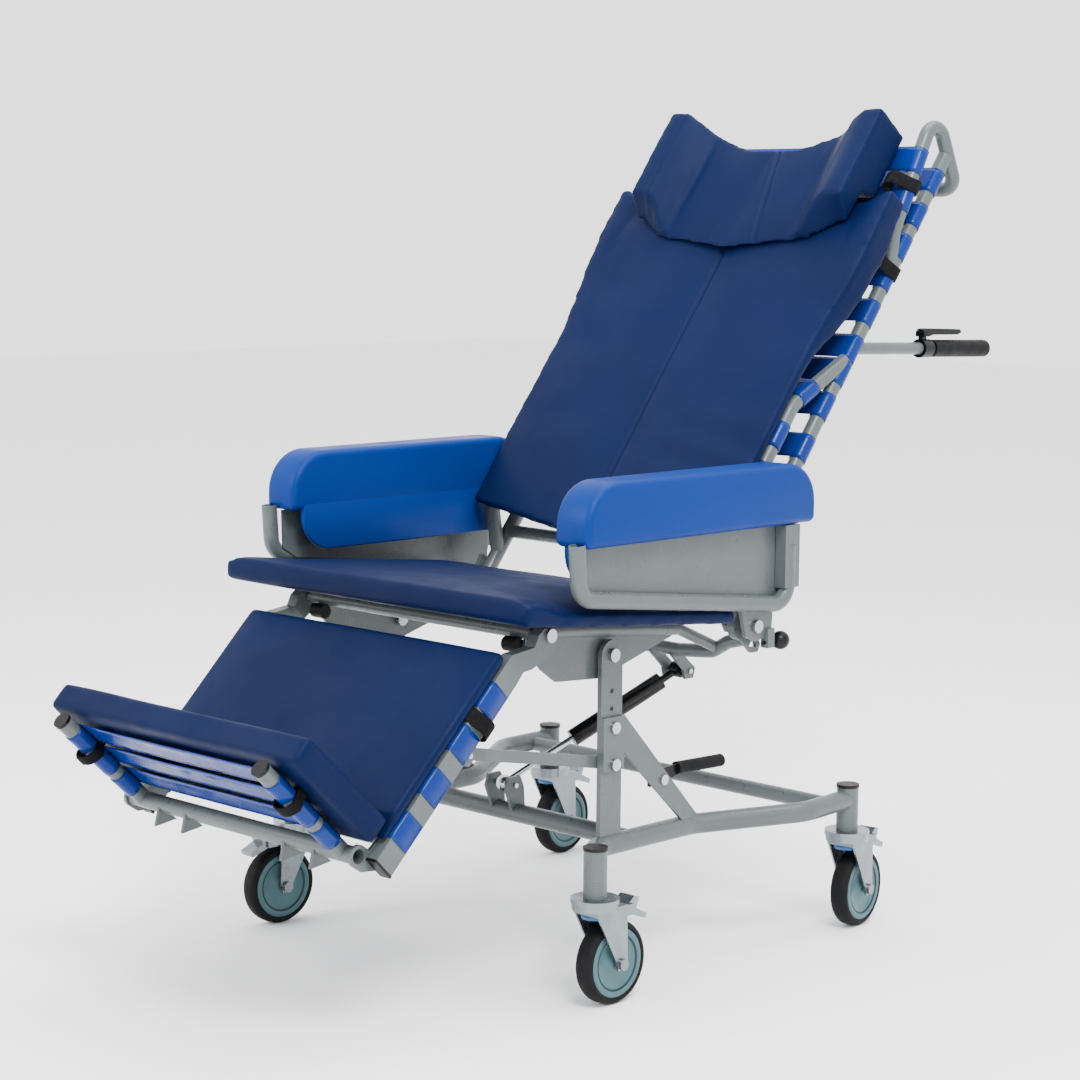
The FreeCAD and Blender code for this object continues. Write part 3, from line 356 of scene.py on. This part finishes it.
def pad(name, place, half_width, a_low, a_high, low, top, across=64, length=48, a_under=None):
    """A closed slab over a side-view frame; every size is a function of where it is."""
    grid = {}
    vertices, faces = [], []
    widest = half_width((a_low(0) + a_high(0)) / 2)
    for layer in (0, 1):
        start = a_low if layer or not a_under else a_under
        for row in range(length + 1):
            for column in range(across + 1):
                spread = 2 * column / across - 1
                first, last = start(spread * widest), a_high(spread * widest)
                along = first + (last - first) * row / length
                x = spread * half_width(along)
                normal = (top if layer else low)(x, along)
                grid[layer, row, column] = len(vertices)
                vertices.append((x, *place(along, normal)))
    for layer in (0, 1):
        for row in range(length):
            for column in range(across):
                faces.append((grid[layer, row, column], grid[layer, row, column + 1],
                              grid[layer, row + 1, column + 1], grid[layer, row + 1, column]))
    for row in range(length):
        for column in (0, across):
            faces.append((grid[0, row, column], grid[0, row + 1, column], grid[1, row + 1, column],
                          grid[1, row, column]))
    for column in range(across):
        for row in (0, length):
            faces.append((grid[0, row, column], grid[0, row, column + 1], grid[1, row, column + 1],
                          grid[1, row, column]))
    return add_mesh(name, vertices, faces, [FABRIC])


def relax(thing, rounds):
    """Even out the steps of a voxel mesh."""
    smooth = thing.modifiers.new("relax", "SMOOTH")
    smooth.factor = 0.5
    smooth.iterations = rounds


def swell(thing, held, cap, pressure=4.0, voxel=0.006, frames=20):
    """Inflate a slab as cloth: held(x, y, z) pins a vertex from 0 to 1, and no point moves past the cap."""
    remesh = thing.modifiers.new("remesh", "REMESH")
    remesh.mode = "VOXEL"
    remesh.voxel_size = voxel
    relax(thing, 4)
    bake(thing)
    pins = thing.vertex_groups.new(name="held")
    start = [vertex.co.copy() for vertex in thing.data.vertices]
    for index, point in enumerate(start):
        pins.add([index], held(*point), "REPLACE")
    cloth = thing.modifiers.new("cloth", "CLOTH")
    settings = cloth.settings
    settings.quality = 4
    settings.mass = 0.25
    settings.tension_stiffness = 18
    settings.compression_stiffness = 18
    settings.shear_stiffness = 8
    settings.bending_stiffness = 0.6
    settings.use_pressure = True
    settings.uniform_pressure_force = pressure
    settings.effector_weights.gravity = 0
    settings.vertex_group_mass = "held"
    cloth.point_cache.frame_start = 1
    cloth.point_cache.frame_end = frames
    for number in range(1, frames + 1):
        scene.frame_set(number)
    bake(thing)
    scene.frame_set(1)
    for vertex, origin in zip(thing.data.vertices, start):
        step = vertex.co - origin
        if step.length > cap:
            vertex.co = origin + step.normalized() * cap


def finish_pad(thing, shape, body, node):
    """Seams and creases after the simulation, then one subdivision."""
    relax(thing, 3)
    divide = thing.modifiers.new("divide", "SUBSURF")
    divide.levels = divide.render_levels = 1
    bake(thing)
    thing.vertex_groups.clear()
    normals = [vertex.normal.copy() for vertex in thing.data.vertices]
    for vertex, normal in zip(thing.data.vertices, normals):
        vertex.co += normal * shape(vertex.co)
    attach(thing, body)
    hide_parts(node)


def groove(distance, depth, width):
    """The inward move of a sewn seam at a distance from its line."""
    return -depth * math.exp(-(distance / width) ** 2)


def ripple(point, scale, size, seed):
    """Slack in the cover."""
    return size * noise.noise(Vector((point.x * scale[0] + seed, point.y * scale[1], point.z * scale[2])))


def local(place, point):
    """Along and normal of a point in a side-view frame."""
    origin = Vector((0, *place(0, 0)))
    along = Vector((0, *place(1, 0))) - origin
    normal = Vector((0, *place(0, 1))) - origin
    away = Vector((0, point[1], point[2])) - origin
    return away.dot(along), away.dot(normal)


def seat_cushion():
    """The seat pad: thick at its front border, thin where it runs under the arms."""
    def half(along):
        return 0.332

    def top(x, along):
        pinch = smoothstep(0.334 - abs(x), -0.002, 0.040)
        front = smoothstep(along, 0.060, -0.010)
        return 0.036 + 0.006 * front - (0.016 - 0.006 * front) * (1 - pinch)

    def low(x, along):
        return 0.003 - 0.001 * smoothstep(along, 0.0, 0.06)

    thing = pad("seat_cushion_cover", seat_point, half, lambda x: -0.026, lambda x: 0.425, low, top)

    def held(x, y, z):
        along, normal = local(seat_point, (x, y, z))
        if normal < 0.010:
            return 1.0
        return 0.6 if abs(x) > 0.322 or along < -0.018 or along > 0.418 else 0.0

    def shape(point):
        along, height = local(seat_point, point)
        move = ripple(point, (5, 7, 7), 0.0012, 3)
        if height > 0.008:
            move += groove(along - 0.050 - 0.006 * math.sin(point.x * 9), 0.0008, 0.010)
        return move

    swell(thing, held, 0.022)
    finish_pad(thing, shape, "seat", "seat_cushion")


def back_cushion():
    """The back pad: a point at its lower middle, a centre seam, and deep boxed sides at its upper part."""
    def half(along):
        if along < 0.45:
            return 0.270 + 0.0045 * along / 0.45
        return 0.2745 + 0.0195 * smoothstep(along, 0.45, 0.64)

    def a_low(x):
        return 0.066 + 0.044 * abs(x) / 0.275

    def a_high(x):
        return 0.740 + 0.020 * smoothstep(abs(x), 0.236, 0.262)

    def top(x, along):
        flank = 0.007 * smoothstep(abs(x), 0.236, 0.260) * smoothstep(along, 0.50, 0.70)
        return 0.100 + 0.004 * along / 0.744 + flank

    def low(x, along):
        flank = smoothstep(along, 0.40, 0.56) * smoothstep(abs(x), 0.180, 0.250)
        return 0.0822 - (0.028 - 0.010 * smoothstep(along, 0.66, 0.74)) * flank

    thing = pad("back_cushion_cover", back_point, half, a_low, a_high, low, top, 60, 72)

    def held(x, y, z):
        along, normal = local(back_point, (x, y, z))
        if normal < low(x, along) + 0.004:
            return 1.0
        if abs(x) < 0.006:
            return 0.9
        edge = abs(x) > half(along) - 0.010 or along > a_high(x) - 0.010 or along < a_low(x) + 0.010
        return 0.6 if edge else 0.0

    def shape(point):
        along, height = local(back_point, point)
        if height < 0.090:
            return 0.0
        move = groove(point.x, 0.0045, 0.0045)
        move += ripple(point, (4, 16, 16), 0.0016, 11) * smoothstep(abs(point.x), 0.01, 0.05)
        slack = smoothstep(0.40 - along, 0.0, 0.25)
        move += 0.0016 * slack * math.sin((along + 0.22 * point.x) * 95) * smoothstep(point.x, 0.02, 0.12)
        return move

    swell(thing, held, 0.024)
    finish_pad(thing, shape, "back", "back_cushion")


def head_cushion():
    """The head pad: a cradle whose two wings rise forward and up, lying a little to the left."""
    def a_low(x):
        return 0.628 + 0.026 * min(1, abs(x) / 0.150) + 0.058 * smoothstep(abs(x), 0.138, 0.190)

    def a_under(x):
        return 0.630 + 0.018 * min(1, abs(x) / 0.150) + 0.040 * smoothstep(abs(x), 0.150, 0.226)

    def a_high(x):
        return 0.834 + 0.056 * smoothstep(abs(x), 0.02, 0.222)

    def top(x, along):
        return 0.1195 + 0.040 * smoothstep(abs(x), 0.125, 0.195)

    def low(x, along):
        return 0.1115 - 0.033 * smoothstep(along, 0.744, 0.764)

    def half(along):
        return 0.228

    thing = pad("head_cushion_cover", back_point, half, a_low, a_high, low, top, 60, 44, a_under)

    def held(x, y, z):
        along, normal = local(back_point, (x, y, z))
        if normal < low(x, along) + 0.004:
            return 1.0
        if abs(x) < 0.005:
            return 0.9
        edge = abs(x) > half(along) - 0.008 or along < a_low(x) + 0.006 or along > a_high(x) - 0.008
        return 0.6 if edge else 0.0

    def shape(point):
        along, height = local(back_point, point)
        if height < 0.116:
            return 0.0
        move = groove(point.x - 0.025 - 0.22 * (0.84 - along), 0.0040, 0.006)
        move += groove(point.x + 0.030, 0.0012, 0.006) * smoothstep(0.72 - along, 0.0, 0.05)
        move -= groove(abs(point.x) - 0.178, 0.0016, 0.006)
        return move + ripple(point, (9, 9, 9), 0.0014, 23)

    swell(thing, held, 0.016, 4.0, 0.005)
    for vertex in thing.data.vertices:
        vertex.co.x += HEAD_SHIFT
    finish_pad(thing, shape, "back", "head_cushion")


def flat_pad(name, place, body, node, a_range, normals, seed, tail=1.0):
    """A plain box pad; past the tail it is pressed thin under its neighbour."""
    low_n, high_n = normals

    def top(x, along):
        return high_n - 0.0125 * smoothstep(along, tail - 0.012, tail + 0.004)

    thing = pad(name, place, lambda along: 0.274, lambda x: a_range[0], lambda x: a_range[1],
                lambda x, along: low_n, top, 56, 44)

    def held(x, y, z):
        along, normal = local(place, (x, y, z))
        if normal < low_n + 0.004:
            return 1.0
        if along > tail - 0.014:
            return 1.0
        edge = abs(x) > 0.268 or along < a_range[0] + 0.007 or along > a_range[1] - 0.007
        return 0.8 if edge else 0.0

    def shape(point):
        along, height = local(place, point)
        if height < low_n + 0.005 or along > tail - 0.016:
            return 0.0
        return ripple(point, (6, 8, 8), 0.0018, seed)

    swell(thing, held, 0.012, 3.0)
    finish_pad(thing, shape, body, node)


# ------------------------------------------------------------------ straps and ties

def strap_loop(tube_x):
    """Cross-section of a strap: wrapped round both tubes and stretched across their front."""
    turns = [math.radians(turn) for turn in range(330, -1, -15)]
    wrap = [(-tube_x - TUBE_WRAP * math.sin(turn), TUBE_WRAP * math.cos(turn)) for turn in turns]
    return wrap + [(-x, n) for x, n in reversed(wrap)]


def strap(name, body, place, centre, section, tube_x, width, seed, base=0.0):
    """One vinyl strap: a band round two tubes, a little slack across the gap; base lifts it onto a bow."""
    line = []
    for (x0, n0), (x1, n1) in zip(section, section[1:]):
        pieces = 14 if abs(x1 - x0) > 0.2 else 1
        for piece in range(pieces):
            line.append((x0 + (x1 - x0) * piece / pieces, n0 + (n1 - n0) * piece / pieces))
    line.append(section[-1])
    rows = 6
    vertices, faces = [], []
    for row in range(rows + 1):
        for x, n in line:
            across = smoothstep(tube_x - abs(x), 0.0, 0.10)
            wave = 0.0012 * across * noise.noise(Vector((x * 9 + seed, row * 0.5, seed)))
            edge = 0.0006 * across * math.cos(math.pi * (2 * row / rows - 1))
            along = centre + width * (row / rows - 0.5)
            vertices.append((x, *place(along, base + n - 0.0008 * across + wave + edge)))
    count = len(line)
    for row in range(rows):
        for index in range(count - 1):
            faces.append((row * count + index, row * count + index + 1, (row + 1) * count + index + 1,
                          (row + 1) * count + index))
    thing = add_mesh(name, vertices, faces, [STRAP])
    solid = thing.modifiers.new("thick", "SOLIDIFY")
    solid.thickness = STRAP_THICK
    solid.offset = 0
    bake(thing)
    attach(thing, body)
    return thing


def tie(name, body, place, along, tube, pad, radius, width=0.024, lean=0.0):
    """A hook-and-loop tie: a stadium loop from a tube's (x, n) centre to the pad's rear at (x, n)."""
    start, end = Vector(tube), Vector(pad)
    ahead = (end - start).normalized()
    across = Vector((-ahead.y, ahead.x))
    tip = radius * 0.45
    loop = [start + (across * math.cos(turn) - ahead * math.sin(turn)) * radius
            for turn in (math.pi * step / 14 for step in range(15))]
    loop += [end + (ahead * math.sin(turn) - across * math.cos(turn)) * tip
             for turn in (math.pi * step / 10 for step in range(11))]
    loop += loop[:5]
    rows = 4
    vertices, faces = [], []
    for row in range(rows + 1):
        for step, (x, n) in enumerate(loop):
            lift = 0.0022 if step >= len(loop) - 5 else 0.0
            outward = (Vector((x, n)) - start).normalized() * lift
            sway = lean * math.sin(2 * math.pi * step / len(loop))
            reach = along + width * (row / rows - 0.5) + sway
            vertices.append((x + outward.x, *place(reach, n + outward.y)))
    count = len(loop)
    for row in range(rows):
        for step in range(count - 1):
            index = row * count + step
            faces.append((index, index + 1, index + count + 1, index + count))
    thing = add_mesh(name, vertices, faces, [TIE])
    solid = thing.modifiers.new("thick", "SOLIDIFY")
    solid.thickness = 0.0028
    solid.offset = 0
    soften(thing, 0.0008, 2)
    bake(thing)
    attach(thing, body)


def leg_section():
    """Cross-section of a leg strap: round both box rails and across their front."""
    inner, outer, front, rear = 0.2512, 0.2728, 0.0198, -0.0198
    return [(-inner, rear), (-outer + 0.003, rear), (-outer, rear + 0.003), (-outer, front - 0.003),
            (-outer + 0.003, front), (outer - 0.003, front), (outer, front - 0.003), (outer, rear + 0.003),
            (outer - 0.003, rear), (inner, rear)]


def bow_point(origin, swing):
    """A frame whose along follows a bow of the back instead of the rear tube."""
    return lambda along, normal: turned(back_point(*origin), BACK_ANGLE + swing, along, normal)


def straps():
    """All straps, at the same places as in the CAD."""
    rear = (0.323, 0.404, 0.470, 0.517, 0.588, 0.659, 0.722, 0.787, 0.857)
    runs = [(back_point, along, 0) for along in rear]
    runs += [(back_point, along, 0.066) for along in (0.227, 0.302)]
    runs += [(bow_point((0.394, 0.0507), -25.56), 0, 0)]
    runs += [(bow_point(place, 9.67), 0, 0) for place in ((0.789, 0.0432), (0.857, 0.0548))]
    section = strap_loop(BACK_TUBE_X)
    for index, (place, along, base) in enumerate(runs):
        made = strap(f"back_strap_{index}", "back", place, along, section, BACK_TUBE_X,
                     STRAP_WIDE, index, base)
    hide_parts("back_straps")
    for index, along in enumerate((0.0465, 0.1225, 0.1985, 0.2745)):
        made = strap(f"leg_strap_{index}", "leg_rest", leg_point, along, leg_section(), BACK_TUBE_X,
                     STRAP_WIDE, 40 + index)
    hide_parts("leg_straps")
    section = strap_loop(FOOT_TUBE_X)
    for index, along in enumerate((0.048, 0.101, 0.154)):
        made = strap(f"foot_strap_{index}", "foot_rest", foot_point, along, section, FOOT_TUBE_X,
                     FOOT_STRAP_WIDE, 60 + index)
    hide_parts("foot_straps")


def ties():
    """The ties that hold the pads to their tubes, both sides alike."""
    for side, sign in SIDES.items():
        tube, foot_tube = sign * BACK_TUBE_X, sign * FOOT_TUBE_X
        tie("back_tie_low_" + side, "back", back_point, 0.668, (tube, 0), (sign * 0.260, 0.040), 0.0158,
            lean=0.008)
        tie("back_tie_high_" + side, "back", back_point, 0.808, (tube, 0.0465), (sign * 0.246, 0.076), 0.0158,
            lean=0.008)
        tie("leg_tie_" + side, "leg_rest", leg_point, 0.084, (tube, -0.006), (tube, 0.015), 0.0225)
        tie("foot_tie_" + side, "foot_rest", foot_point, 0.1275, (foot_tube, -0.004), (sign * 0.224, 0.012),
            0.0185, 0.018, 0.004)


# ------------------------------------------------------------------ arms

def arc(centre, radius, start, end, steps):
    """Points of a circular arc, its angles in degrees."""
    return [(centre[0] + radius * math.cos(math.radians(start + (end - start) * step / steps)),
             centre[1] + radius * math.sin(math.radians(start + (end - start) * step / steps)))
            for step in range(steps + 1)]


def arm_pads():
    """Moulded arm pads, each with a thin skirt down its inner side."""
    front, back, low, top = -0.300, 0.217, 0.673, 0.766
    for side, sign in SIDES.items():
        outline = [(back, low), (back, 0.700)]
        outline += arc((back - 0.060, 0.706), 0.060, 0, 90, 10)
        outline += arc((front + 0.066, 0.700), 0.066, 90, 180, 12)
        outline += [(front, low)]
        pad_low, pad_high = sorted((sign * 0.2825, sign * 0.3505))
        moulding = prism("arm_pad_moulding_" + side, outline, pad_low, pad_high, arm_point, [FOAM], 0.011, 5)
        skirt_front = front + 0.022
        skirt = [(skirt_front, low + 0.012), (0.138, low + 0.012), (0.138, 0.608)]
        skirt += arc((skirt_front + 0.056, 0.664), 0.056, 270, 180, 10)
        skirt_low, skirt_high = sorted((sign * 0.2825, sign * 0.2935))
        inner = prism("arm_pad_skirt_" + side, skirt, skirt_low, skirt_high, arm_point, [FOAM], 0.003, 2)
        for piece in (moulding, inner):
            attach(piece, "arm_" + side)
        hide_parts("arm_pad_" + side)


# ------------------------------------------------------------------ castors

def castor_wheels():
    """Tyres, grooved discs with painted shade in their groove ring, and the blue swivel seals."""
    for name, (x, y, swivel) in CASTORS.items():
        turn = math.radians(swivel)
        axis = Vector((math.cos(turn), math.sin(turn), 0))
        centre = Vector((x, y, WHEEL_RADIUS)) + Vector((-math.sin(turn), math.cos(turn), 0)) * CASTOR_TRAIL
        body = "wheel_" + name
        half = WHEEL_HALF
        tyre = [(-half, 0.0530), (-half, 0.0560), (-half + 0.002, 0.0595), (-half + 0.006, 0.0618),
                (-0.004, WHEEL_RADIUS), (0.004, WHEEL_RADIUS), (half - 0.006, 0.0618),
                (half - 0.002, 0.0595),
                (half, 0.0560), (half, 0.0530), (half - 0.001, 0.0515), (-half + 0.001, 0.0515),
                (-half, 0.0530)]
        tread = lathe("tyre_" + name, centre, axis, tyre, [TYRE])
        face = [(0.0135, 0.0051), (0.0148, 0.0060), (0.0148, 0.0130), (0.0128, 0.0150), (0.0124, 0.0380),
                (0.0134, 0.0392), (0.0126, 0.0402), (0.0126, 0.0414), (0.0145, 0.0424), (0.0145, 0.0508),
                (0.0138, 0.0514)]
        profile = [(-along, radius) for along, radius in face]
        profile += [(along, radius) for along, radius in reversed(face)]
        # Rows 5 to 7 are the groove ring, which takes the painted shade finish.
        band = [0, 0, 0, 0, 0, 1, 1, 1, 0, 0]
        bands = band + [0] + band[::-1]
        hub = lathe("hub_" + name, centre, axis, profile + [profile[0]], [DISC, GROOVE_SHADE], bands + [0])
        for piece, node, finish in ((tread, "castor_tread_", "black_tyre"),
                                    (hub, "castor_hub_", "wheel_disc")):
            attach(piece, body)
            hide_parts(node + name)
        seal = [(0.0, 0.0130), (0.0, 0.0198), (-0.0030, 0.0206), (-0.0070, 0.0190), (-0.0080, 0.0130),
                (0.0, 0.0130)]
        ring = lathe("swivel_seal_" + name, (x, y, SEAL_TOP), (0, 0, 1), seal, [BLUE_PLASTIC])
        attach(ring, "castor_" + name)


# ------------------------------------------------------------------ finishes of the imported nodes

def finish_nodes():
    """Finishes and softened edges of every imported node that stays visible."""
    painted = ["base_frame", "lower_uprights", "upper_uprights", "brace_plates", "seat_frame",
               "back_frame", "leg_frame", "leg_link_left", "leg_link_right", "foot_frame",
               "arm_frame_left", "arm_frame_right"]
    for name in painted:
        soften(paint_node(name, PAINT), 0.0008, 2)
    for name in ("upright_bolts", "seat_pins", "spring_head_pin", "spring_foot_pin", "link_end_pins",
                 "foot_pedal_pin"):
        soften(paint_node(name, STEEL), 0.0006, 2)
    for name in ("castor_stems", *("castor_fork_" + name for name in CASTORS),
                 *("brake_pedal_" + name for name in CASTORS)):
        soften(paint_node(name, ZINC), 0.0009, 2)
    for name in ("recline_lever_left", "recline_lever_right", "lever_clamps", "foot_pedal_lever",
                 "arm_lock_knob_left", "arm_lock_knob_right", "foot_tube_caps", "leg_rail_plugs"):
        soften(paint_node(name, BLACK), 0.0012, 3)
    for name in ("handle_grips", "foot_pedal_grip", "seat_bumpers"):
        soften(paint_node(name, RUBBER), 0.0030, 3)
    soften(paint_node("socket_caps", CAP), 0.0015, 3)
    soften(paint_node("spring_cylinder", SPRING), 0.0020, 3)
    paint_node("spring_rod", CHROME)


# ------------------------------------------------------------------ assembly

seat_cushion()
back_cushion()
head_cushion()
flat_pad("leg_cushion_cover", leg_point, "leg_rest", "leg_cushion", (-0.015, 0.307),
         (0.0225, 0.0420), 31, tail=0.284)
flat_pad("foot_cushion_cover", foot_point, "foot_rest", "foot_cushion", (0.005, 0.202),
         (0.0185, 0.0620), 37)
straps()
ties()
arm_pads()
castor_wheels()
finish_nodes()
